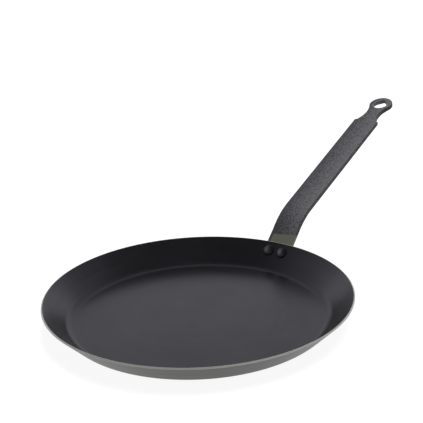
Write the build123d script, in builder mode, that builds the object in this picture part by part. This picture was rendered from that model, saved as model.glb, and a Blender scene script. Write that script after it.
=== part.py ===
from build123d import *
import os
from math import asin, cos, degrees, radians, sin, sqrt, tan

# A shallow steel crepe pan: a pressed sheet dish with a flaring wall, a bent strip
# handle whose end is dished to lie against the outside of the wall, and two rivets
# through both, domed on the inside.
# Lengths are in millimetres, angles in degrees.
# Origin: centre of the underside. +Z up. The handle points along +X.

# Dish
rim_radius = 130.0  # inner edge of the rim
pan_height = 22.0  # underside to the inner corner of the rim, before its bevel
sheet_thickness = 1.5
wall_slope = 45.0
base_corner_radius = 12.0  # outside, between the flat base and the wall
rim_break = 0.3  # bevel on both edges of the cut rim

# Handle strip, described along its top face from the wall outwards
strip_width = 26.0
strip_thickness = 4.5
strip_edge_radius = 0.8
seat_length = 19.0  # how far the strip reaches down the wall below the rim
seat_corner_radius = 6.0  # the two lower corners of the strip
riser_length = 31.3  # from the rim to the knee, in line with the wall
flattening_share = 0.75  # of the straight riser, over which the dished end turns flat
knee_radius = 65.0
grip_slope = 19.5
grip_length = 161.2  # from the knee to the shoulders
tip_bend_radius = 60.0
tip_slope = 16.1

# Eye end of the strip, measured from the shoulders
shoulder_slant = 0.4  # how far the shoulder step leans towards the tip
neck_distance = 15.0
neck_half_width = 7.6
neck_radius = 34.0  # hollow curve on each side of the neck
eye_radius = 12.0
eye_edge_break = 0.5  # bevel along the neck and round the eye
hole_radius = 7.4  # round end of the teardrop hole
hole_setback = 1.7  # round end lies this much nearer the pan than the eye's centre
hole_point_radius = 1.0
hole_point_margin = 4.0  # metal between the hole's point and the tip

# Rivets
rivet_drop = 9.0  # centre of the rivets below the rim, measured down the wall
rivet_spacing = 14.0
shank_diameter = 6.0
head_diameter = 10.0
head_height = 2.6
head_edge = 0.8  # straight rim under the dome
set_head_diameter = 9.6  # the end that is pressed over, outside
set_head_top_diameter = 6.4  # its flat top, inside a conical flank
set_head_height = 2.1

# Fits
seat_clearance = 0.05  # wall to strip, and under each rivet head
shank_clearance = 0.05  # radial, in the punched holes
cut_overrun = 5.0  # how far every cutting tool runs past the metal

# Directions in the upright plane through the handle
slope_cos = cos(radians(wall_slope))
slope_sin = sin(radians(wall_slope))
half_slope_tan = tan(radians(wall_slope / 2))

# The rim is cut square to the wall, so its outer edge is lower and further out
outer_rim_radius = rim_radius + sheet_thickness * slope_sin
outer_rim_height = pan_height - sheet_thickness * slope_cos
outer_corner = outer_rim_radius - outer_rim_height / tan(radians(wall_slope))
inner_corner = outer_corner - sheet_thickness * half_slope_tan

# Row of rivets, on the inner face of the wall
rivet_row_radius = rim_radius - rivet_drop * slope_cos
rivet_row_height = pan_height - rivet_drop * slope_sin
rivet_angle = degrees(asin(rivet_spacing / 2 / rivet_row_radius))
wall_bend_radius = rivet_row_radius / slope_sin  # the wall's curve seen along its slope


def rivet_plane(angle):
    """Plane on the wall's inner face at a rivet, its Z along the rivet towards the pan's inside."""
    turn = radians(angle)
    out = Vector(cos(turn), sin(turn), 0)
    return Plane(
        origin=out * rivet_row_radius + Vector(0, 0, rivet_row_height),
        x_dir=Vector(-sin(turn), cos(turn), 0),
        z_dir=out * -slope_sin + Vector(0, 0, slope_cos),
    )


rivet_planes = [rivet_plane(-rivet_angle), rivet_plane(rivet_angle)]
shank_radius = shank_diameter / 2
shank_hole_radius = shank_radius + shank_clearance
rivet_grip = sheet_thickness + seat_clearance + strip_thickness

# Dish: one revolved section of even thickness, then the punched rivet holes
with BuildPart() as dish:
    with BuildSketch(Plane.XZ) as dish_section:
        with BuildLine():
            Polyline(
                (0, 0),
                (outer_corner, 0),
                (outer_rim_radius, outer_rim_height),
                (rim_radius, pan_height),
                (inner_corner, sheet_thickness),
                (0, sheet_thickness),
                close=True,
            )
        make_face()
        inside_corner = dish_section.vertices().group_by(Axis.Y)[1].sort_by(Axis.X)[-1]
        fillet(inside_corner, base_corner_radius - sheet_thickness)
        underside_corner = dish_section.vertices().group_by(Axis.Y)[0].sort_by(Axis.X)[-1]
        fillet(underside_corner, base_corner_radius)
        rim_corners = dish_section.vertices().sort_by(Axis.Y)[-2:]
        chamfer(rim_corners, min(rim_break, sheet_thickness / 3))
    revolve(axis=Axis.Z)
    with Locations(*rivet_planes):
        Cylinder(shank_hole_radius, 2 * (sheet_thickness + cut_overrun), mode=Mode.SUBTRACT)

dish.part.label = "pan_body"

# Handle: the dished end has the wall's curve and turns flat on its way up the riser, the
# rest is a flat section swept along the bent line of the strip's top face. Then the strip
# is trimmed to the eye, the hole and the rounded seat.
seat_line_radius = outer_rim_radius + seat_clearance * slope_sin
seat_line_height = outer_rim_height - seat_clearance * slope_cos
half_width = strip_width / 2

across = Vector(0, 1, 0)
riser_direction = Vector(slope_cos, 0, slope_sin)
grip_direction = Vector(cos(radians(grip_slope)), 0, sin(radians(grip_slope)))
tip_direction = Vector(cos(radians(tip_slope)), 0, sin(radians(tip_slope)))

seat_top = Vector(seat_line_radius, 0, seat_line_height)
seat_end = seat_top - riser_direction * seat_length
straight_riser = riser_length - knee_radius * tan(radians((wall_slope - grip_slope) / 2))
flat_start = seat_top + riser_direction * straight_riser * flattening_share
knee = seat_top + riser_direction * riser_length
shoulder = knee + grip_direction * grip_length

# The hollow of each neck side touches the eye's circle, which fixes the eye's place
neck_centre_offset = neck_half_width + neck_radius
eye_distance = neck_distance + sqrt((neck_radius + eye_radius) ** 2 - neck_centre_offset**2)
tip_distance = eye_distance + eye_radius
strip_end = shoulder + tip_direction * (tip_distance + cut_overrun)

seat_plane = Plane(origin=seat_end, x_dir=riser_direction, z_dir=riser_direction.cross(across))
eye_plane = Plane(origin=shoulder, x_dir=tip_direction, z_dir=tip_direction.cross(across))


# The dished end takes the wall's curve, seen along its slope, at the middle of the seat
dish_radius = (seat_line_radius - seat_length / 2 * slope_cos) / slope_sin
under_dish_radius = dish_radius + strip_thickness
dish_rise = dish_radius - sqrt(dish_radius**2 - half_width**2)
under_dish_rise = under_dish_radius - sqrt(under_dish_radius**2 - half_width**2)

seat_end_plane = Plane(origin=seat_end, x_dir=across, z_dir=riser_direction)
flat_plane = Plane(origin=flat_start, x_dir=across, z_dir=riser_direction)

with BuildSketch(seat_end_plane) as dished_section:
    with BuildLine():
        ThreePointArc((-half_width, dish_rise), (0, 0), (half_width, dish_rise))
        Line((half_width, dish_rise), (half_width, under_dish_rise - strip_thickness))
        ThreePointArc(
            (half_width, under_dish_rise - strip_thickness),
            (0, -strip_thickness),
            (-half_width, under_dish_rise - strip_thickness),
        )
        Line((-half_width, under_dish_rise - strip_thickness), (-half_width, dish_rise))
    make_face()
    fillet(dished_section.vertices(), strip_edge_radius)

with BuildSketch(flat_plane) as flat_section:
    with Locations((0, -strip_thickness / 2)):
        RectangleRounded(strip_width, strip_thickness, strip_edge_radius)

with BuildPart() as handle:
    extrude(dished_section.sketch, amount=seat_length)
    seat_top_face = handle.faces().sort_by(Axis(seat_end, riser_direction))[-1]
    loft(sections=[seat_top_face, flat_section.sketch], ruled=True)
    with BuildLine() as strip_line:
        FilletPolyline(flat_start, knee, shoulder, strip_end, radius=[knee_radius, tip_bend_radius])
    sweep(sections=flat_section.sketch, path=strip_line.line)

    # What is cut away round the eye end
    neck_start = neck_centre_offset - sqrt(neck_radius**2 - (neck_distance - shoulder_slant) ** 2)
    touch_share = neck_radius / (neck_radius + eye_radius)
    touch_point = (
        neck_distance + (eye_distance - neck_distance) * touch_share,
        neck_centre_offset * (1 - touch_share),
    )
    tip_point = (tip_distance, 0)
    with BuildSketch(eye_plane) as trimmings:
        with BuildLine():
            outer_edge = Polyline(
                (0, half_width),
                (0, half_width + cut_overrun),
                (tip_distance + 2 * cut_overrun, half_width + cut_overrun),
                (tip_distance + 2 * cut_overrun, 0),
                tip_point,
            )
            eye_arc = RadiusArc(tip_point, touch_point, -eye_radius)
            neck_arc = RadiusArc(touch_point, (shoulder_slant, neck_start), neck_radius)
            Line((shoulder_slant, neck_start), (0, half_width))
        make_face()
        mirror(about=Plane.XZ)
    extrude(amount=strip_thickness + cut_overrun, both=True, mode=Mode.SUBTRACT)
    neck_and_eye_edges = (
        handle.edges()
        .filter_by(GeomType.LINE, reverse=True)
        .filter_by(lambda edge: eye_plane.to_local_coords(edge.center()).X > shoulder_slant)
    )
    chamfer(neck_and_eye_edges, eye_edge_break)

    # Teardrop hanging hole, its point towards the tip
    hole_distance = eye_distance - hole_setback
    point_distance = tip_distance - hole_point_margin - hole_point_radius
    with BuildSketch(eye_plane) as hole:
        with Locations((hole_distance, 0)):
            Circle(hole_radius)
        with Locations((point_distance, 0)):
            Circle(hole_point_radius)
        make_hull()
    extrude(amount=strip_thickness + cut_overrun, both=True, mode=Mode.SUBTRACT)

    # Rounded lower corners
    with BuildSketch(seat_plane) as seat_trimmings:
        with Locations((-cut_overrun, 0)):
            Rectangle(
                cut_overrun + seat_corner_radius,
                strip_width + 2 * cut_overrun,
                align=(Align.MIN, Align.CENTER),
            )
        with Locations((seat_corner_radius, 0)):
            Rectangle(
                seat_corner_radius,
                strip_width - 2 * seat_corner_radius,
                align=(Align.MAX, Align.CENTER),
                mode=Mode.SUBTRACT,
            )
        with Locations(
            (seat_corner_radius, half_width - seat_corner_radius),
            (seat_corner_radius, seat_corner_radius - half_width),
        ):
            Circle(seat_corner_radius, mode=Mode.SUBTRACT)
    extrude(amount=strip_thickness + cut_overrun, both=True, mode=Mode.SUBTRACT)

    with Locations(*rivet_planes):
        Cylinder(shank_hole_radius, 2 * (rivet_grip + cut_overrun), mode=Mode.SUBTRACT)

handle.part.label = "handle"

# Rivets: a domed head inside, the shank, and the pressed conical head against the strip
head_radius = head_diameter / 2
set_head_radius = set_head_diameter / 2
set_head_top_radius = set_head_top_diameter / 2
# The wall is hollow under the inner head, so the head's flat side stands this much off it
head_lift = wall_bend_radius - sqrt(wall_bend_radius**2 - head_radius**2) + seat_clearance
set_head_level = -rivet_grip - seat_clearance

head_dome = head_height - head_edge
head_dome_radius = (head_radius**2 + head_dome**2) / (2 * head_dome)

with BuildPart() as rivet:
    with BuildSketch(Plane.XZ) as rivet_section:
        with BuildLine():
            Polyline(
                (0, head_lift + head_height),
                (0, set_head_level - set_head_height),
                (set_head_top_radius, set_head_level - set_head_height),
                (set_head_radius, set_head_level),
                (shank_radius, set_head_level),
                (shank_radius, head_lift),
                (head_radius, head_lift),
                (head_radius, head_lift + head_edge),
            )
            RadiusArc(
                (head_radius, head_lift + head_edge),
                (0, head_lift + head_height),
                -head_dome_radius,
            )
        make_face()
    revolve(axis=Axis.Z)

with BuildPart() as handle_rivets:
    with Locations(*rivet_planes):
        add(rivet.part)

handle_rivets.part.label = "handle_rivets"

os.makedirs("parts", exist_ok=True)
for piece in (dish, handle, handle_rivets):
    export_step(piece.part, f"parts/{piece.part.label}.step")

print("base flat radius", outer_corner - base_corner_radius * half_slope_tan)
print("tip", shoulder + tip_direction * tip_distance)
print("overall", Compound(children=[dish.part, handle.part, handle_rivets.part]).bounding_box())
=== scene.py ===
import bpy
from math import asin, atan2, cos, pi, radians, sin, sqrt, tan
from mathutils import Matrix, Vector


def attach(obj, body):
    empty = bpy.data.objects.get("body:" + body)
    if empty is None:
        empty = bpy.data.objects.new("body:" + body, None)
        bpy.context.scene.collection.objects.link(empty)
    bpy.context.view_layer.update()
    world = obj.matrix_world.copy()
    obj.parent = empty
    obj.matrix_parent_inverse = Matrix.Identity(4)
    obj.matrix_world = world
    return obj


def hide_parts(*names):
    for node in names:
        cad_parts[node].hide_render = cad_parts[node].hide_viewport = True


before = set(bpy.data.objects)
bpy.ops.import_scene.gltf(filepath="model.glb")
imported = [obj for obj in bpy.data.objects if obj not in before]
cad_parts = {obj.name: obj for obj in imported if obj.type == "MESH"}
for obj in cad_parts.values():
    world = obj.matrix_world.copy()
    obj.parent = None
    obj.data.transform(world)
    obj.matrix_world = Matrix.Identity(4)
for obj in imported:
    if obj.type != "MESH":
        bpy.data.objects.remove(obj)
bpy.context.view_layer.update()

MM = 0.001


# Camera: the photograph's view, from the front left, looking down into the dish with
# the handle running away to the upper right.
view_place = Vector((-664.05, -493.32, 396.88)) * MM
view_forward = Vector((0.76356, 0.54684, -0.34342))
view_right = Vector((0.56953, -0.82095, -0.04094))
view_lens = 91.88
film_width = 36
near_clip = 10 * MM

camera_data = bpy.data.cameras.new("photo_view")
camera_data.lens = view_lens
camera_data.sensor_width = film_width
camera_data.clip_start = near_clip
camera = bpy.data.objects.new("photo_view", camera_data)
camera_back = -view_forward.normalized()
camera_right = (view_right - view_right.dot(camera_back) * camera_back).normalized()
camera.matrix_world = Matrix.Translation(view_place) @ Matrix(
    (camera_right, camera_back.cross(camera_right), camera_back)).transposed().to_4x4()
bpy.context.scene.collection.objects.link(camera)
bpy.context.scene.camera = camera


# Dish: one disc of carbon steel sheet, 1.5 mm thick, pressed to a flat floor and a low
# wall that flares at 45 degrees. The rim is cut square and left bare, so it shines.
rim_radius = 130 * MM
dish_height = 22 * MM
sheet = 1.5 * MM
wall_slope = radians(45)
base_corner = 12 * MM
rim_rounding = 0.3 * MM
dish_steps = 288  # faces round the dish
ring_spacing = 2.5 * MM  # at most, between two rings of faces
corner_steps = 14  # points on each rounded corner of the section
weld_distance = 0.01 * MM


def feed(tree, node, feeds):
    """Fills a node's inputs with plain values or with other nodes' sockets."""
    for name, value in feeds.items():
        if isinstance(value, bpy.types.NodeSocket):
            tree.links.new(value, node.inputs[name])
        else:
            node.inputs[name].default_value = value


def put(tree, kind, feeds=None, **settings):
    """Adds a node, sets its options, and then fills its inputs."""
    node = tree.nodes.new(kind)
    for name, value in settings.items():
        setattr(node, name, value)
    feed(tree, node, feeds or {})
    return node


def calc(tree, operation, *values):
    """One Math node, as a socket."""
    return put(tree, "ShaderNodeMath", dict(enumerate(values)), operation=operation).outputs[0]


def new_tree(name, kind, inputs, outputs):
    """A node group with named sockets, and the sockets that it is given and gives back."""
    tree = bpy.data.node_groups.new(name, kind)
    for in_out, sockets in (("INPUT", inputs), ("OUTPUT", outputs)):
        for label, socket_kind in sockets.items():
            tree.interface.new_socket(label, in_out=in_out, socket_type="NodeSocket" + socket_kind)
    return tree, tree.nodes.new("NodeGroupInput").outputs, tree.nodes.new("NodeGroupOutput").inputs


def point_number(tree):
    return put(tree, "GeometryNodeInputIndex").outputs[0]


def by_number(tree, data_type, values):
    """Gives each point of a section its own value."""
    switch = put(tree, "GeometryNodeIndexSwitch", data_type=data_type)
    while len(switch.index_switch_items) < len(values):
        switch.index_switch_items.new()
    feed(tree, switch, {"Index": point_number(tree)})
    feed(tree, switch, {str(number): value for number, value in enumerate(values)})
    return switch.outputs[0]


def corner(tree, x, z):
    return put(tree, "ShaderNodeCombineXYZ", {"X": x, "Z": z}).outputs[0]


def drawn_section(tree, corners):
    """A line through the corners of a section, in the XZ plane."""
    line = put(tree, "GeometryNodeMeshLine", {"Count": len(corners)}).outputs[0]
    line = put(tree, "GeometryNodeSetPosition", {
        "Geometry": line, "Position": by_number(tree, "VECTOR", corners)}).outputs[0]
    return put(tree, "GeometryNodeMeshToCurve", {0: line}).outputs[0]


def marked(tree, geometry, mark):
    """Stores a number on each point, for the material to read."""
    return put(tree, "GeometryNodeStoreNamedAttribute", {
        "Geometry": geometry, "Name": "mark", "Value": mark}, data_type="FLOAT", domain="POINT").outputs[0]


def end_tree(tree, geometry, material, result):
    """Ends a tree with one plain mesh in its material."""
    mesh = put(tree, "GeometryNodeRealizeInstances", {0: geometry}).outputs[0]
    mesh = put(tree, "GeometryNodeSetMaterial", {"Geometry": mesh, "Material": material}).outputs[0]
    tree.links.new(mesh, result["Geometry"])


# A section is turned about Z, clockwise, so that its faces point outwards. The marks of
# its points come along.
turning, given, result = new_tree(
    "turn_a_section", "GeometryNodeTree",
    {"Section": "Geometry", "Steps": "Int"}, {"Geometry": "Geometry"})
section_size = put(turning, "GeometryNodeAttributeDomainSize", {0: given["Section"]}, component="CURVE")
rows = put(turning, "FunctionNodeIntegerMath", {0: given["Steps"], 1: 1}, operation="ADD").outputs[0]
flat_grid = put(turning, "GeometryNodeMeshGrid", {
    "Vertices X": section_size.outputs["Point Count"], "Vertices Y": rows}).outputs["Mesh"]
number = point_number(turning)
along = put(turning, "FunctionNodeIntegerMath", {0: number, 1: rows}, operation="DIVIDE_FLOOR").outputs[0]
around = put(turning, "FunctionNodeIntegerMath", {0: number, 1: rows}, operation="MODULO").outputs[0]
place = put(turning, "GeometryNodeSampleIndex", {
    "Geometry": given["Section"], "Value": put(turning, "GeometryNodeInputPosition").outputs[0],
    "Index": along}, data_type="FLOAT_VECTOR").outputs[0]
mark = put(turning, "GeometryNodeInputNamedAttribute", {"Name": "mark"}, data_type="FLOAT").outputs[0]
mark = put(turning, "GeometryNodeSampleIndex", {
    "Geometry": given["Section"], "Value": mark, "Index": along}, data_type="FLOAT").outputs[0]
angle = calc(turning, "MULTIPLY", calc(turning, "DIVIDE", around, given["Steps"]), -2 * pi)
spot = put(turning, "ShaderNodeSeparateXYZ", {0: place}).outputs
turned_place = put(turning, "ShaderNodeCombineXYZ", {
    "X": calc(turning, "MULTIPLY", spot["X"], calc(turning, "COSINE", angle)),
    "Y": calc(turning, "MULTIPLY", spot["X"], calc(turning, "SINE", angle)),
    "Z": spot["Z"]}).outputs[0]
shell = put(turning, "GeometryNodeSetPosition", {
    "Geometry": flat_grid, "Position": turned_place}).outputs[0]
shell = marked(turning, shell, mark)
shell = put(turning, "GeometryNodeMergeByDistance", {
    "Geometry": shell, "Distance": weld_distance}).outputs[0]
shell = put(turning, "GeometryNodeSetShadeSmooth", {"Geometry": shell}).outputs[0]
turning.links.new(shell, result["Geometry"])

# The pressed sheet's section: underside, outer wall, cut rim, inner wall, floor. Its mark
# is 0 outside the dish and 1 inside.
pressing, given, result = new_tree(
    "pressed_dish", "GeometryNodeTree",
    {"Geometry": "Geometry", "Rim Radius": "Float", "Height": "Float", "Sheet": "Float",
     "Slope": "Float", "Base Corner": "Float", "Rim Rounding": "Float", "Corner Steps": "Int",
     "Spacing": "Float", "Steps": "Int", "Material": "Material"},
    {"Geometry": "Geometry"})
rim_out = calc(pressing, "MULTIPLY", given["Sheet"], calc(pressing, "SINE", given["Slope"]))
rim_down = calc(pressing, "MULTIPLY", given["Sheet"], calc(pressing, "COSINE", given["Slope"]))
outer_radius = calc(pressing, "ADD", given["Rim Radius"], rim_out)
outer_height = calc(pressing, "SUBTRACT", given["Height"], rim_down)
wall_reach = calc(pressing, "DIVIDE", outer_height, calc(pressing, "TANGENT", given["Slope"]))
foot = calc(pressing, "SUBTRACT", outer_radius, wall_reach)
half_slope = calc(pressing, "TANGENT", calc(pressing, "DIVIDE", given["Slope"], 2.0))
inner_foot = calc(pressing, "SUBTRACT", foot, calc(pressing, "MULTIPLY", given["Sheet"], half_slope))
line = drawn_section(pressing, [
    corner(pressing, 0.0, 0.0),
    corner(pressing, foot, 0.0),
    corner(pressing, outer_radius, outer_height),
    corner(pressing, given["Rim Radius"], given["Height"]),
    corner(pressing, inner_foot, given["Sheet"]),
    corner(pressing, 0.0, given["Sheet"])])
line = marked(pressing, line, by_number(pressing, "FLOAT", [0.0, 0.0, 0.0, 1.0, 1.0, 1.0]))
inner_corner = calc(pressing, "SUBTRACT", given["Base Corner"], given["Sheet"])
line = put(pressing, "GeometryNodeFilletCurve", {
    "Curve": line, "Count": given["Corner Steps"], "Radius": by_number(pressing, "FLOAT", [
        0.0, given["Base Corner"], given["Rim Rounding"], given["Rim Rounding"], inner_corner, 0.0])},
    mode="POLY").outputs[0]
here = put(pressing, "GeometryNodeInputPosition").outputs[0]
next_number = put(pressing, "FunctionNodeIntegerMath", {
    0: point_number(pressing), 1: 1}, operation="ADD").outputs[0]
there = put(pressing, "GeometryNodeFieldAtIndex", {"Value": here, "Index": next_number},
            data_type="FLOAT_VECTOR", domain="POINT").outputs[0]
stretch = put(pressing, "ShaderNodeVectorMath", {
    0: here, 1: there}, operation="DISTANCE").outputs["Value"]
cuts = calc(pressing, "FLOOR", calc(pressing, "DIVIDE", stretch, given["Spacing"]))
line = put(pressing, "GeometryNodeSubdivideCurve", {"Curve": line, "Cuts": cuts}).outputs[0]
turned = put(pressing, "GeometryNodeGroup", {
    "Section": line, "Steps": given["Steps"]}, node_tree=turning).outputs[0]
end_tree(pressing, turned, given["Material"], result)


def made_by(tree, name, sizes):
    """Runs a tree once with its sizes and keeps the plain mesh."""
    holder = bpy.data.objects.new(name, bpy.data.meshes.new(name))
    bpy.context.scene.collection.objects.link(holder)
    modifier = holder.modifiers.new(name, "NODES")
    modifier.node_group = tree
    sockets = {item.name: item.identifier for item in tree.interface.items_tree if item.in_out == "INPUT"}
    for label, value in sizes.items():
        modifier[sockets[label]] = value
    holder.update_tag()
    depsgraph = bpy.context.evaluated_depsgraph_get()
    mesh = bpy.data.meshes.new_from_object(
        holder.evaluated_get(depsgraph), preserve_all_data_layers=True, depsgraph=depsgraph)
    holder.modifiers.clear()
    holder.data = mesh
    mesh.name = name
    for slot in reversed(range(len(mesh.materials))):
        if not mesh.materials[slot]:
            mesh.materials.pop(index=slot)
    return holder


# Grain of bare rolled steel: fine pits, faint clouds, and streaks along the given run.
fine_detail = 5.0
soft_detail = 3.0
pit_roughness = 0.6
cloud_share = 0.6
steel_grain, given, result = new_tree(
    "steel_grain", "ShaderNodeTree",
    {"Place": "Vector", "Run": "Vector", "Pit Scale": "Float", "Cloud Scale": "Float",
     "Streaks": "Float"},
    {"Height": "Float", "Shade": "Float"})
pits = put(steel_grain, "ShaderNodeTexNoise", {
    "Vector": given["Place"], "Scale": given["Pit Scale"], "Detail": fine_detail,
    "Roughness": pit_roughness}).outputs[0]
clouds = put(steel_grain, "ShaderNodeTexNoise", {
    "Vector": given["Place"], "Scale": given["Cloud Scale"], "Detail": soft_detail}).outputs[0]
streaks = put(steel_grain, "ShaderNodeTexNoise", {
    "Vector": given["Run"], "Scale": 1.0, "Detail": soft_detail}).outputs[0]
relief = calc(steel_grain, "ADD", pits, calc(steel_grain, "MULTIPLY", streaks, given["Streaks"]))
steel_grain.links.new(relief, result["Height"])
steel_grain.links.new(calc(
    steel_grain, "ADD", calc(steel_grain, "MULTIPLY", clouds, cloud_share),
    calc(steel_grain, "MULTIPLY", relief, 1 - cloud_share)), result["Shade"])


def new_material(name, roughness, metallic, specular=0.5):
    """A material with its Principled shader set to plain values."""
    material = bpy.data.materials.new(name)
    material.use_nodes = True
    tree = material.node_tree
    shader = tree.nodes["Principled BSDF"]
    feed(tree, shader, {"Roughness": roughness, "Metallic": metallic, "Specular IOR Level": specular})
    return material, tree, shader


def object_place(tree):
    return put(tree, "ShaderNodeTexCoord").outputs["Object"]


def stored(tree, name):
    """A number that the mesh keeps on its points."""
    return put(tree, "ShaderNodeAttribute", attribute_name=name).outputs["Fac"]


def mix_colors(tree, share, low, high):
    return put(tree, "ShaderNodeMix", {0: share, 6: low, 7: high}, data_type="RGBA").outputs[2]


def spread(tree, value, low, high, to_low=0.0, to_high=1.0):
    """Stretches the values between low and high to a new range, and holds them there."""
    return put(tree, "ShaderNodeMapRange", {
        "Value": value, "From Min": low, "From Max": high,
        "To Min": to_low, "To Max": to_high}).outputs[0]


def blend(tree, mask, without, within):
    """One value outside a mask and another within it."""
    return spread(tree, mask, 0.0, 1.0, without, within)


def bumped(tree, height, strength, distance):
    return put(tree, "ShaderNodeBump", {
        "Height": height, "Strength": strength, "Distance": distance}).outputs[0]


inside_steel = (0.087, 0.085, 0.100, 1)
inside_steel_pale = (0.101, 0.099, 0.114, 1)
outside_steel = (0.026, 0.026, 0.024, 1)
outside_steel_pale = (0.090, 0.089, 0.083, 1)
cut_steel = (0.50, 0.50, 0.485, 1)
film = 0.93  # how metallic the steel looks under its thin film of dark oxide
filed = 0.45  # and where the edge was filed, which scatters light
cut_reach = 0.5 * MM  # the bright edge runs this far down both sides of the sheet
cut_rough = 0.45
outside_rough = 0.37
inside_rough = 0.25
outside_rough_change = 0.06  # from the dark parts of the grain to the pale ones
inside_rough_change = 0.01
inside_relief = 0.4  # of the relief outside
steel_bump = 0.2
steel_bump_depth = 0.05 * MM
streak_width = 7 * MM
streak_turn = 1.4  # how fast a streak changes round the dish
streak_strength = 1.4
steel_pit_scale = 1300.0
steel_cloud_scale = 22.0
shade_dark = 0.66  # the grain's shades between these two run from dark to pale
shade_pale = 0.90

dish_steel, tree, shader = new_material("carbon_steel", outside_rough, film)
where = object_place(tree)
spot = put(tree, "ShaderNodeSeparateXYZ", {0: where}).outputs
from_axis = calc(tree, "SQRT", calc(
    tree, "ADD", calc(tree, "POWER", spot["X"], 2.0), calc(tree, "POWER", spot["Y"], 2.0)))
streak_place = put(tree, "ShaderNodeCombineXYZ", {
    "X": calc(tree, "DIVIDE", calc(tree, "ADD", from_axis, spot["Z"]), streak_width),
    "Y": calc(tree, "MULTIPLY", calc(tree, "DIVIDE", spot["X"], from_axis), streak_turn),
    "Z": calc(tree, "MULTIPLY", calc(tree, "DIVIDE", spot["Y"], from_axis), streak_turn)}).outputs[0]
grain = put(tree, "ShaderNodeGroup", {
    "Place": where, "Run": streak_place, "Pit Scale": steel_pit_scale, "Cloud Scale": steel_cloud_scale,
    "Streaks": streak_strength}, node_tree=steel_grain).outputs
inside = stored(tree, "mark")
shade = spread(tree, grain["Shade"], shade_dark, shade_pale)
steel = mix_colors(tree, inside, mix_colors(tree, shade, outside_steel, outside_steel_pale),
                   mix_colors(tree, shade, inside_steel, inside_steel_pale))
rough = calc(tree, "ADD", blend(tree, inside, outside_rough, inside_rough), calc(
    tree, "MULTIPLY", shade, blend(tree, inside, outside_rough_change, inside_rough_change)))
relief = calc(tree, "MULTIPLY", grain["Height"], blend(tree, inside, 1.0, inside_relief))
# The cut edge is what lies furthest up the wall's slope.
up_wall = calc(tree, "ADD", calc(tree, "MULTIPLY", from_axis, cos(wall_slope)),
               calc(tree, "MULTIPLY", spot["Z"], sin(wall_slope)))
rim_place = rim_radius * cos(wall_slope) + dish_height * sin(wall_slope)
cut = spread(tree, up_wall, rim_place - cut_reach, rim_place - cut_reach / 2)
feed(tree, shader, {
    "Base Color": mix_colors(tree, cut, steel, cut_steel),
    "Roughness": blend(tree, cut, rough, cut_rough),
    "Metallic": blend(tree, cut, film, filed),
    "Normal": bumped(tree, relief, steel_bump, steel_bump_depth)})

dish = made_by(pressing, "pressed_dish", {
    "Rim Radius": rim_radius, "Height": dish_height, "Sheet": sheet, "Slope": wall_slope,
    "Base Corner": base_corner, "Rim Rounding": rim_rounding, "Corner Steps": corner_steps,
    "Spacing": ring_spacing, "Steps": dish_steps, "Material": dish_steel})
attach(dish, "root")
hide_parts("pan_body")


# Handle: one steel strip, 26 by 4.5 mm, bent at the knee and stamped to a neck and a
# hanging eye at the far end. Its end is hollowed to the round wall. The grip is powder
# coated in a leathery grain, and the seat end is left bare.
strip_width = 26 * MM
strip_thickness = 4.5 * MM
strip_rounding = 0.75 * MM
crown = 0.3 * MM  # how far the top face falls away to its edges
seat_length = 19 * MM
seat_corner = 6 * MM
riser_length = 31.3 * MM
knee_radius = 65 * MM
grip_slope = radians(19.5)
grip_length = 161.2 * MM
tip_bend_radius = 60 * MM
tip_slope = radians(16.1)
shoulder_slant = 0.4 * MM
neck_distance = 15 * MM
neck_half_width = 7.6 * MM
neck_radius = 34 * MM
eye_radius = 12 * MM
hole_radius = 7.4 * MM
hole_setback = 1.7 * MM
hole_point_radius = 1.0 * MM
hole_point_margin = 4.0 * MM
hole_rounding = 0.4 * MM
seat_gap = 0.05 * MM
arch_share = 0.75  # of the straight riser, over which the seat's hollow turns flat

half_width = strip_width / 2
riser_way = Vector((cos(wall_slope), 0, sin(wall_slope)))
grip_way = Vector((cos(grip_slope), 0, sin(grip_slope)))
tip_way = Vector((cos(tip_slope), 0, sin(tip_slope)))
rim_seat = Vector((rim_radius + (sheet + seat_gap) * sin(wall_slope), 0,
                   dish_height - (sheet + seat_gap) * cos(wall_slope)))
knee_tangent = knee_radius * tan((wall_slope - grip_slope) / 2)
tip_tangent = tip_bend_radius * tan((grip_slope - tip_slope) / 2)
neck_centre = neck_half_width + neck_radius
eye_distance = neck_distance + sqrt((neck_radius + eye_radius) ** 2 - neck_centre ** 2)
tip_distance = eye_distance + eye_radius
seat_start = rim_seat - riser_way * seat_length
seat_radius = (rim_seat.x - seat_length / 2 * cos(wall_slope)) / sin(wall_slope)
arch_fade = (riser_length - knee_tangent) * arch_share
knee_start = seat_length + riser_length - knee_tangent
knee_turn = knee_radius * (wall_slope - grip_slope)
knee_end = knee_start + knee_turn
tip_start = knee_end + grip_length - knee_tangent - tip_tangent
tip_turn = tip_bend_radius * (grip_slope - tip_slope)
tip_end = tip_start + tip_turn
shoulder_along = tip_end - tip_tangent


def bend(origin, slope, radius, length):
    """Where a bend of the strip leads after some length, and the slope there."""
    centre = origin + Vector((sin(slope), 0, -cos(slope))) * radius
    new_slope = slope - length / radius
    return centre + Vector((-sin(new_slope), 0, cos(new_slope))) * radius, new_slope


knee_in = seat_start + riser_way * knee_start
knee_out, _ = bend(knee_in, wall_slope, knee_radius, knee_turn)
tip_in = knee_out + grip_way * (tip_start - knee_end)
tip_out, _ = bend(tip_in, grip_slope, tip_bend_radius, tip_turn)


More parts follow.
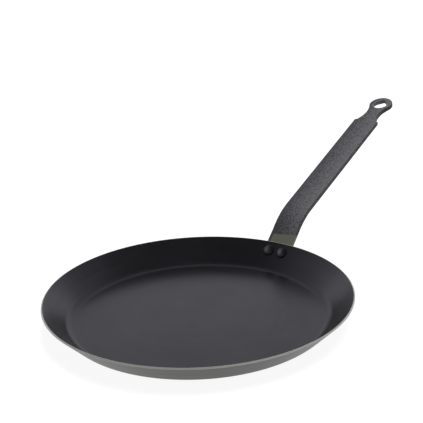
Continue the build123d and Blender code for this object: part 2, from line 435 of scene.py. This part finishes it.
def on_strip(along, across, depth):
    """A point of the strip: along its top face from the seat end, across it, and below it."""
    if along < knee_start:
        spot, slope = seat_start + riser_way * along, wall_slope
    elif along < knee_end:
        spot, slope = bend(knee_in, wall_slope, knee_radius, along - knee_start)
    elif along < tip_start:
        spot, slope = knee_out + grip_way * (along - knee_end), grip_slope
    elif along < tip_end:
        spot, slope = bend(tip_in, grip_slope, tip_bend_radius, along - tip_start)
    else:
        spot, slope = tip_out + tip_way * (along - tip_end), tip_slope
    flatness = min(max((along - seat_length) / arch_fade, 0), 1)
    arch = seat_radius - sqrt(seat_radius ** 2 - across ** 2)
    fall = crown * (across / half_width) ** 2 * (1 - depth / strip_thickness)
    lift = arch * (1 - flatness) - fall * flatness - depth
    return spot + Vector((-sin(slope) * lift, across, cos(slope) * lift))


def evenly(start, end, steps):
    return [start + (end - start) * step / steps for step in range(steps + 1)]


def neck_edge(past):
    """Half the width of the neck, at a distance past the shoulders."""
    return neck_centre - sqrt(neck_radius ** 2 - (neck_distance - past) ** 2)


# One side of the flat outline, from the seat end to the tip: rounded seat corner, straight
# side, shoulder, neck and eye. Up to the eye its points are the rows across the strip. The
# cheek is where the neck swells into the eye.
columns = 12
seat_corner_steps = 8
side_steps = 116
neck_steps = 14
cheek_steps = 8
eye_steps = 32
last_row_past_neck = 4 * MM  # from its narrowest place
cheek_start = neck_distance + last_row_past_neck
cheek_end = neck_distance + (eye_distance - neck_distance) * neck_radius / (neck_radius + eye_radius)
cheek_angle = atan2(neck_edge(cheek_end), cheek_end - eye_distance)


def neck_line(start, end, steps):
    return [Vector((shoulder_along + past, neck_edge(past), 0)) for past in evenly(start, end, steps)]


side_line = [Vector((seat_corner * (1 - cos(turn)), half_width - seat_corner * (1 - sin(turn)), 0))
             for turn in evenly(0, pi / 2, seat_corner_steps)]
side_line += [Vector((along, half_width, 0))
              for along in evenly(seat_corner, shoulder_along, side_steps)[1:]]
side_line += neck_line(shoulder_slant, cheek_start, neck_steps)
row_count = len(side_line)
side_line += neck_line(cheek_start, cheek_end, cheek_steps)[1:]
side_line += [Vector((shoulder_along + eye_distance + eye_radius * cos(turn), eye_radius * sin(turn), 0))
              for turn in evenly(cheek_angle, 0, eye_steps)[1:]]
last = len(side_line) - 1

outline = [Vector((0, across, 0)) for across in evenly(side_line[0].y, -side_line[0].y, columns)]
outline += [Vector((point.x, -point.y, 0)) for point in side_line[1:]]
outline += side_line[-2:0:-1]


def right_end(row):
    """The right end of a row, as a place in the outline."""
    return columns + row


def left_end(row):
    return (columns + 2 * last - row) % len(outline)


def moved_in(loop, distance):
    """A closed flat line moved to its left, corners kept."""
    moved = []
    for place, here in enumerate(loop):
        before = (here - loop[place - 1]).normalized()
        after = (loop[(place + 1) % len(loop)] - here).normalized()
        lefts = Vector((-before.y - after.y, before.x + after.x, 0))
        moved.append(here + lefts * distance / (1 + before.dot(after)))
    return moved


edge_steps = 4
edge_margin = 0.4 * MM  # the flat strip of faces that keeps an edge's rounding tight


def over_edge(rounding):
    """Steps over the strip's edge, as (distance in from it, depth), from top face to underside."""
    top = [(rounding + edge_margin, 0)]
    top += [(rounding * (1 - sin(turn)), rounding * (1 - cos(turn)))
            for turn in evenly(0, pi / 2, edge_steps)]
    top += [(0, rounding + edge_margin)]
    return top + [(inward, strip_thickness - depth) for inward, depth in reversed(top)]


places = []  # (along, across, depth) of every vertex
faces = []


def add_loop(points, depth):
    start = len(places)
    places.extend((point.x, point.y, depth) for point in points)
    return list(range(start, len(places)))


def between(start, end, share):
    return Vector(places[start]).lerp(Vector(places[end]), share)


def add_quads(first, second, turned=False):
    """Quads between two lines of vertices, facing the right-hand side of their run."""
    for place in range(len(first) - 1):
        quad = first[place], first[place + 1], second[place + 1], second[place]
        faces.append(quad[::-1] if turned else quad)


def add_band(first, second, turned=False):
    """Quads between two closed loops."""
    add_quads(first + first[:1], second + second[:1], turned)


edge_loops = [add_loop(moved_in(outline, inward), depth) for inward, depth in over_edge(strip_rounding)]
for first, second in zip(edge_loops, edge_loops[1:]):
    add_band(second, first)

# Top face and underside up to the eye: rows across the strip.
eye_loops = []
for edge_loop, depth in (edge_loops[0], 0), (edge_loops[-1], strip_thickness):
    row = edge_loop[:columns + 1]
    for number in range(1, row_count):
        ends = edge_loop[left_end(number)], edge_loop[right_end(number)]
        inner = [between(*ends, column / columns) for column in range(1, columns)]
        next_row = [ends[0]] + add_loop(inner, depth) + [ends[1]]
        add_quads(row, next_row, turned=depth > 0)
        row = next_row
    eye_loop = row + [edge_loop[right_end(number)] for number in range(row_count, last + 1)]
    eye_loop += [edge_loop[left_end(number)] for number in range(last - 1, row_count - 1, -1)]
    eye_loops.append(eye_loop)

# Hanging hole: a round end nearer the pan, and a point towards the tip.
hole_centre = shoulder_along + eye_distance - hole_setback
point_reach = tip_distance - hole_point_margin - hole_point_radius - (eye_distance - hole_setback)


def hole_edge(turn):
    """Distance from the hole's round centre to its edge, in a direction from its point."""
    turn = abs(turn)
    flank = pi / 2 - asin((hole_radius - hole_point_radius) / point_reach)
    if turn >= flank:
        return hole_radius
    nose = atan2(hole_point_radius * sin(flank), point_reach + hole_point_radius * cos(flank))
    if turn > nose:
        return hole_radius / cos(turn - flank)
    return point_reach * cos(turn) + sqrt(hole_point_radius ** 2 - (point_reach * sin(turn)) ** 2)


hole_line = []
for number in eye_loops[0]:
    along, across, _ = places[number]
    turn = atan2(across, along - hole_centre)
    hole_line.append(Vector((hole_centre + hole_edge(turn) * cos(turn), hole_edge(turn) * sin(turn), 0)))
hole_loops = [add_loop(moved_in(hole_line, -inward), depth) for inward, depth in over_edge(hole_rounding)]
for first, second in zip(hole_loops, hole_loops[1:]):
    add_band(first, second)

# The eye's two faces: rings between its edge and the hole.
rings = 6
for eye_loop, hole_loop, depth in zip(eye_loops, (hole_loops[0], hole_loops[-1]), (0, strip_thickness)):
    ring = eye_loop
    for step in range(1, rings):
        inner = [between(start, end, step / rings) for start, end in zip(eye_loop, hole_loop)]
        next_ring = add_loop(inner, depth)
        add_band(ring, next_ring, turned=depth > 0)
        ring = next_ring
    add_band(ring, hole_loop, turned=depth > 0)

strip_mesh = bpy.data.meshes.new("strip_handle")
strip_mesh.from_pydata([on_strip(*place) for place in places], [], faces)
on_side = {number for loop in edge_loops[2:-2] for number in loop}
in_hole = {number for loop in hole_loops[2:-2] for number in loop}
for name, values in {
        "run": [along for along, _, _ in places], "across": [across for _, across, _ in places],
        "side": [float(number in on_side) for number in range(len(places))],
        "hole": [float(number in in_hole) for number in range(len(places))]}.items():
    strip_mesh.attributes.new(name, "FLOAT", "POINT").data.foreach_set("value", values)
strip_mesh.shade_smooth()
handle = bpy.data.objects.new("strip_handle", strip_mesh)
bpy.context.scene.collection.objects.link(handle)

coat_dark = (0.045, 0.044, 0.050, 1)
coat_pale = (0.114, 0.112, 0.120, 1)
painted_light_hole_coat = (0.21, 0.21, 0.215, 1)  # painted light on the hanging hole's wall
band_steel = (0.130, 0.134, 0.104, 1)
band_steel_pale = (0.170, 0.174, 0.140, 1)
coat_rough = 0.55
coat_specular = 0.15
band_rough = 0.45
band_metal = 0.3
band_pit_scale = 1300.0
band_cloud_scale = 60.0

bare_length = 10 * MM  # of the strip above the rim
bare_margin = 2.7 * MM  # coated stretch beside the bare one
bare_taper = 6 * MM  # over which that stretch ends, below the rim
bare_overrun = 1 * MM  # how far past the strip's side it then ends
bare_slant_share = 0.12  # how much the coat's edge leans across the strip
coat_edge = 0.4 * MM
ragged_scale = 260.0
ragged_detail = 2.0
ragged_reach = 0.8 * MM

pebble = 1.5 * MM
pebble_softness = 0.7
pebble_share = -0.8  # below 0, so that each pebble stands up
peel_per_pebble = 1.6
peel_detail = 3.0
peel_roughness = 0.55
leather_dark = -0.1  # the leather's heights between these two run from dark to pale
leather_pale = 0.35
leather_bump = 0.7
leather_bump_depth = 0.2 * MM
# Painted light and shade on the coat: darker towards the strip's left side, paler towards its right,
# darker on its narrow sides.
painted_shade_left = -0.46  # painted shade: added to the share of pale at the strip's left side
painted_light_right = 0.55
riser_darkening = -0.25  # below the knee
painted_side_shade = 0.65  # painted shade: taken off that share on the strip's narrow sides

handle_finish, tree, shader = new_material("powder_coat", coat_rough, 0.0, coat_specular)
where = object_place(tree)
pebbles = put(tree, "ShaderNodeTexVoronoi", {
    "Vector": where, "Scale": 1 / pebble, "Smoothness": pebble_softness},
    feature="SMOOTH_F1").outputs["Distance"]
peel = put(tree, "ShaderNodeTexNoise", {
    "Vector": where, "Scale": peel_per_pebble / pebble, "Detail": peel_detail,
    "Roughness": peel_roughness}).outputs[0]
leather = calc(tree, "ADD", calc(tree, "MULTIPLY", pebbles, pebble_share), peel)
grain = put(tree, "ShaderNodeGroup", {
    "Place": where, "Run": where, "Pit Scale": band_pit_scale, "Cloud Scale": band_cloud_scale,
    "Streaks": 0.0}, node_tree=steel_grain).outputs
run = stored(tree, "run")
across = stored(tree, "across")

# The coat ends above the rim in a ragged, slanting edge, and beside the strip's left side.
ragged = calc(tree, "MULTIPLY", put(tree, "ShaderNodeTexNoise", {
    "Vector": where, "Scale": ragged_scale, "Detail": ragged_detail}).outputs[0], ragged_reach)
leaning = calc(tree, "ADD", run, calc(tree, "MULTIPLY", across, bare_slant_share))
coat_start = seat_length + bare_length
above = spread(tree, calc(tree, "ADD", leaning, ragged), coat_start, coat_start + coat_edge)
bare_side = spread(tree, run, seat_length - bare_taper, seat_length,
                   half_width + bare_overrun, half_width - bare_margin)
beside = spread(tree, calc(tree, "SUBTRACT", calc(tree, "ADD", across, ragged), bare_side),
                0.0, coat_edge)
coated = calc(tree, "MAXIMUM", above, beside)

# Painted light and shade: paler towards the strip's right side, darker on its narrow sides, and darker
# below the knee.
painted_shading = calc(tree, "ADD", spread(tree, across, half_width, -half_width, painted_shade_left, painted_light_right),
            spread(tree, run, knee_start, knee_end, riser_darkening, 0.0))
painted_shading = calc(tree, "SUBTRACT", painted_shading, calc(tree, "MULTIPLY", stored(tree, "side"), painted_side_shade))
paleness = calc(tree, "ADD", spread(tree, leather, leather_dark, leather_pale), painted_shading)
coat = mix_colors(tree, paleness, coat_dark, coat_pale)
# Painted light: the hole's wall is made paler than the coat.
coat = mix_colors(tree, stored(tree, "hole"), coat, painted_light_hole_coat)
bare = mix_colors(tree, grain["Shade"], band_steel, band_steel_pale)
height = calc(tree, "MULTIPLY", calc(tree, "ADD", leather, 1.0), coated)
feed(tree, shader, {
    "Base Color": mix_colors(tree, coated, bare, coat),
    "Roughness": blend(tree, coated, band_rough, coat_rough),
    "Metallic": blend(tree, coated, band_metal, 0.0),
    "Normal": bumped(tree, height, leather_bump, leather_bump_depth)})
strip_mesh.materials.append(handle_finish)
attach(handle, "root")
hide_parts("handle")


# Rivets: two solid steel rivets, domed heads inside the dish, pressed over to flat cones
# against the strip outside. Each is turned from one section and set square to the wall.
rivet_count = 2
rivet_drop = 9 * MM
rivet_spacing = 14 * MM
shank_radius = 3 * MM
head_radius = 5 * MM
head_height = 2.6 * MM
head_edge = 0.8 * MM
set_head_radius = 4.8 * MM
set_head_top = 3.2 * MM
set_head_height = 2.1 * MM
set_head_rounding = 0.5 * MM
rivet_steps = 48
rounding_steps = 6
dome_cuts = 9  # of the slope that becomes the dome

riveting, given, result = new_tree(
    "wall_rivets", "GeometryNodeTree",
    {"Geometry": "Geometry", "Count": "Int", "Row Radius": "Float", "Row Height": "Float",
     "Turn Between": "Float", "Slope": "Float", "Shank Radius": "Float", "Grip": "Float",
     "Head Lift": "Float", "Head Radius": "Float", "Head Height": "Float", "Head Edge": "Float",
     "Set Head Radius": "Float", "Set Head Top": "Float", "Set Head Height": "Float",
     "Rounding": "Float", "Rounding Steps": "Int", "Steps": "Int", "Material": "Material"},
    {"Geometry": "Geometry"})
under = calc(riveting, "MULTIPLY", given["Grip"], -1.0)
low_top = calc(riveting, "SUBTRACT", under, given["Set Head Height"])
dome_start = calc(riveting, "ADD", given["Head Lift"], given["Head Edge"])
dome_top = calc(riveting, "ADD", given["Head Lift"], given["Head Height"])
section = [
    corner(riveting, 0.0, low_top),
    corner(riveting, given["Set Head Top"], low_top),
    corner(riveting, given["Set Head Radius"], under),
    corner(riveting, given["Shank Radius"], under),
    corner(riveting, given["Shank Radius"], given["Head Lift"]),
    corner(riveting, given["Head Radius"], given["Head Lift"]),
    corner(riveting, given["Head Radius"], dome_start),
    corner(riveting, 0.0, dome_top)]
line = drawn_section(riveting, section)
line = put(riveting, "GeometryNodeSubdivideCurve", {"Curve": line, "Cuts": by_number(
    riveting, "INT", [0] * (len(section) - 2) + [dome_cuts, 0])}).outputs[0]
line = put(riveting, "GeometryNodeFilletCurve", {
    "Curve": line, "Count": given["Rounding Steps"], "Limit Radius": True, "Radius": by_number(
        riveting, "FLOAT", [0.0, given["Rounding"]] + [0.0] * (len(section) + dome_cuts - 2))},
    mode="POLY").outputs[0]

# The slope above the head's edge is lifted onto the dome's sphere.
rise = calc(riveting, "SUBTRACT", given["Head Height"], given["Head Edge"])
head_square = calc(riveting, "POWER", given["Head Radius"], 2.0)
rise_square = calc(riveting, "POWER", rise, 2.0)
ball = calc(riveting, "DIVIDE", calc(riveting, "ADD", head_square, rise_square),
            calc(riveting, "MULTIPLY", rise, 2.0))
position = put(riveting, "GeometryNodeInputPosition").outputs[0]
spot = put(riveting, "ShaderNodeSeparateXYZ", {0: position}).outputs
ball_height = calc(riveting, "SQRT", calc(
    riveting, "SUBTRACT", calc(riveting, "POWER", ball, 2.0), calc(riveting, "POWER", spot["X"], 2.0)))
drop = calc(riveting, "SUBTRACT", ball, ball_height)
on_dome = put(riveting, "FunctionNodeCompare", {"A": spot["Z"], "B": dome_start},
              data_type="FLOAT", operation="GREATER_THAN").outputs[0]
line = put(riveting, "GeometryNodeSetPosition", {
    "Geometry": line, "Selection": on_dome,
    "Position": corner(riveting, spot["X"], calc(riveting, "SUBTRACT", dome_top, drop))}).outputs[0]
# A rivet's mark is the distance from its own axis, 1 at the head's edge.
line = marked(riveting, line, calc(riveting, "DIVIDE", spot["X"], given["Head Radius"]))
one_rivet = put(riveting, "GeometryNodeGroup", {
    "Section": line, "Steps": given["Steps"]}, node_tree=turning).outputs[0]

# The row follows the round wall, and each rivet leans with it.
middle = calc(riveting, "MULTIPLY", calc(riveting, "SUBTRACT", given["Count"], 1.0), 0.5)
turn = calc(riveting, "MULTIPLY", calc(riveting, "SUBTRACT", point_number(riveting), middle),
            given["Turn Between"])
out_x = calc(riveting, "COSINE", turn)
out_y = calc(riveting, "SINE", turn)
lean = calc(riveting, "MULTIPLY", calc(riveting, "SINE", given["Slope"]), -1.0)
row = put(riveting, "GeometryNodeSetPosition", {
    "Geometry": put(riveting, "GeometryNodePoints", {"Count": given["Count"]}).outputs[0],
    "Position": put(riveting, "ShaderNodeCombineXYZ", {
        "X": calc(riveting, "MULTIPLY", out_x, given["Row Radius"]),
        "Y": calc(riveting, "MULTIPLY", out_y, given["Row Radius"]),
        "Z": given["Row Height"]}).outputs[0]}).outputs[0]
rivet_way = put(riveting, "ShaderNodeCombineXYZ", {
    "X": calc(riveting, "MULTIPLY", out_x, lean),
    "Y": calc(riveting, "MULTIPLY", out_y, lean),
    "Z": calc(riveting, "COSINE", given["Slope"])}).outputs[0]
upright = put(riveting, "FunctionNodeAlignRotationToVector", {"Vector": rivet_way}, axis="Z").outputs[0]
rivets = put(riveting, "GeometryNodeInstanceOnPoints", {
    "Points": row, "Instance": one_rivet, "Rotation": upright}).outputs[0]
end_tree(riveting, rivets, given["Material"], result)

rivet_steel_dark = (0.085, 0.085, 0.095, 1)
rivet_steel_pale = (0.15, 0.15, 0.165, 1)
painted_highlight_steel = (0.46, 0.46, 0.48, 1)  # painted highlight on the crown of the heads
highlight_from = 0.70  # of the head's radius, where the painted highlight begins
highlight_full = 0.05  # and where it is fully bright
rivet_rough = 0.40
rivet_pit_scale = 900.0
rivet_cloud_scale = 220.0
rivet_bump = 0.4
rivet_bump_depth = 0.1 * MM

rivet_finish, tree, shader = new_material("satin_rivet_steel", rivet_rough, 1.0)
where = object_place(tree)
grain = put(tree, "ShaderNodeGroup", {
    "Place": where, "Run": where, "Pit Scale": rivet_pit_scale, "Cloud Scale": rivet_cloud_scale,
    "Streaks": 0.0}, node_tree=steel_grain).outputs
# Painted highlight: the heads grow bright towards their axis.
painted_highlight = spread(tree, stored(tree, "mark"), highlight_from, highlight_full)
rivet_steel = mix_colors(tree, grain["Shade"], rivet_steel_dark, rivet_steel_pale)
feed(tree, shader, {
    "Base Color": mix_colors(tree, painted_highlight, rivet_steel, painted_highlight_steel),
    "Normal": bumped(tree, grain["Height"], rivet_bump, rivet_bump_depth)})

row_radius = rim_radius - rivet_drop * cos(wall_slope)
wall_bend = row_radius / sin(wall_slope)
rivet_pair = made_by(riveting, "wall_rivets", {
    "Count": rivet_count, "Row Radius": row_radius,
    "Row Height": dish_height - rivet_drop * sin(wall_slope),
    "Turn Between": 2 * asin(rivet_spacing / 2 / row_radius), "Slope": wall_slope,
    "Shank Radius": shank_radius, "Grip": sheet + seat_gap + strip_thickness + seat_gap,
    "Head Lift": wall_bend - sqrt(wall_bend ** 2 - head_radius ** 2) + seat_gap,
    "Head Radius": head_radius, "Head Height": head_height, "Head Edge": head_edge,
    "Set Head Radius": set_head_radius, "Set Head Top": set_head_top, "Set Head Height": set_head_height,
    "Rounding": set_head_rounding, "Rounding Steps": rounding_steps, "Steps": rivet_steps,
    "Material": rivet_finish})
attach(rivet_pair, "root")
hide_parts("handle_rivets")


# Floor: a wide pale sheet of paper. What the camera sees of it is near white, and it
# keeps the pan's soft shadow. From below it is clear, and shows the pan's underside.
floor_size = 40.0
floor_drop = 0.2 * MM  # keeps the paper clear of the underside
paper_in_light = (0.3, 0.3, 0.3, 1)  # what the paper throws back on the pan
paper_in_view = (0.18, 0.18, 0.18, 1)  # what its shadow takes away
paper_glow = 0.92
white = (1, 1, 1, 1)

half = floor_size / 2
floor_corners = (-half, -half), (half, -half), (half, half), (-half, half)
floor_mesh = bpy.data.meshes.new("paper_floor")
floor_mesh.from_pydata([(x, y, -floor_drop) for x, y in floor_corners], [], [range(len(floor_corners))])
floor = bpy.data.objects.new("paper_floor", floor_mesh)
bpy.context.scene.collection.objects.link(floor)
paper = bpy.data.materials.new("white_paper")
paper.use_nodes = True
tree = paper.node_tree
tree.nodes.clear()
ray = put(tree, "ShaderNodeLightPath").outputs
in_view = calc(tree, "MAXIMUM", calc(tree, "MAXIMUM", ray["Is Camera Ray"], ray["Is Glossy Ray"]),
               ray["Is Transmission Ray"])
lit_paper = put(tree, "ShaderNodeBsdfDiffuse", {"Color": paper_in_light}).outputs[0]
seen_paper = put(tree, "ShaderNodeAddShader", {
    0: put(tree, "ShaderNodeBsdfDiffuse", {"Color": paper_in_view}).outputs[0],
    1: put(tree, "ShaderNodeEmission", {"Color": white, "Strength": paper_glow}).outputs[0]}).outputs[0]
from_above = put(tree, "ShaderNodeMixShader", {0: in_view, 1: lit_paper, 2: seen_paper}).outputs[0]
clear = put(tree, "ShaderNodeBsdfTransparent").outputs[0]
below = put(tree, "ShaderNodeNewGeometry").outputs["Backfacing"]
put(tree, "ShaderNodeOutputMaterial", {
    "Surface": put(tree, "ShaderNodeMixShader", {0: below, 1: from_above, 2: clear}).outputs[0]})
floor_mesh.materials.append(paper)


# Studio: a bright backdrop beyond the pan, light round the horizon, a dim ceiling, and a
# soft box high over the handle that lights what is matt.
backdrop_way = Vector((view_forward.x, view_forward.y, 0)).normalized()
backdrop_height = 0.4  # how far the sky's bands rise beyond the pan
sky_shares = ((-0.38, 0.28), (-0.22, 0.42), (-0.034, 0.62), (0.154, 0.39), (0.42, 0.25),
              (0.62, 0.17), (0.85, 0.05))  # (height over the backdrop, brightness)
sky_blue = 1.02  # of the red and green
horizon_top = 0.07  # below this height metal sees the sky fade to white
box_width = 1.4
box_depth = 1.0
box_power = 36
box_place = Vector((0.35, -0.15, 1.7))
box_aim = Vector((0.15, 0, 0))

world = bpy.data.worlds.new("studio")
bpy.context.scene.world = world
world.use_nodes = True
tree = world.node_tree
direction = put(tree, "ShaderNodeTexCoord").outputs["Generated"]
upwards = put(tree, "ShaderNodeSeparateXYZ", {0: direction}).outputs["Z"]
beyond = put(tree, "ShaderNodeVectorMath", {
    0: direction, 1: backdrop_way}, operation="DOT_PRODUCT").outputs["Value"]
level = calc(tree, "SUBTRACT", upwards, calc(tree, "MULTIPLY", beyond, backdrop_height))
sky = put(tree, "ShaderNodeValToRGB", {"Fac": spread(tree, level, -backdrop_height, 1.0)})
ramp = sky.color_ramp
while len(ramp.elements) < len(sky_shares):
    ramp.elements.new(0.5)
for element, (height, share) in zip(ramp.elements, sky_shares):
    element.position = (height + backdrop_height) / (1 + backdrop_height)
    element.color = (share, share, share * sky_blue, 1)
ray = put(tree, "ShaderNodeLightPath").outputs
low = spread(tree, upwards, horizon_top, 0.0)
as_white = calc(tree, "MAXIMUM", calc(tree, "MAXIMUM", ray["Is Camera Ray"], ray["Is Transmission Ray"]),
                calc(tree, "MULTIPLY", ray["Is Glossy Ray"], low))
feed(tree, tree.nodes["Background"], {
    "Color": mix_colors(tree, as_white, sky.outputs[0], white), "Strength": 1.0})

box_light = bpy.data.lights.new("soft_box", "AREA")
box_light.shape = "RECTANGLE"
box_light.size = box_width
box_light.size_y = box_depth
box_light.energy = box_power
soft_box = bpy.data.objects.new("soft_box", box_light)
soft_box.location = box_place
soft_box.rotation_euler = (box_aim - box_place).to_track_quat("-Z", "Y").to_euler()
soft_box.visible_glossy = False
bpy.context.scene.collection.objects.link(soft_box)

bpy.context.scene.view_settings.view_transform = "Standard"
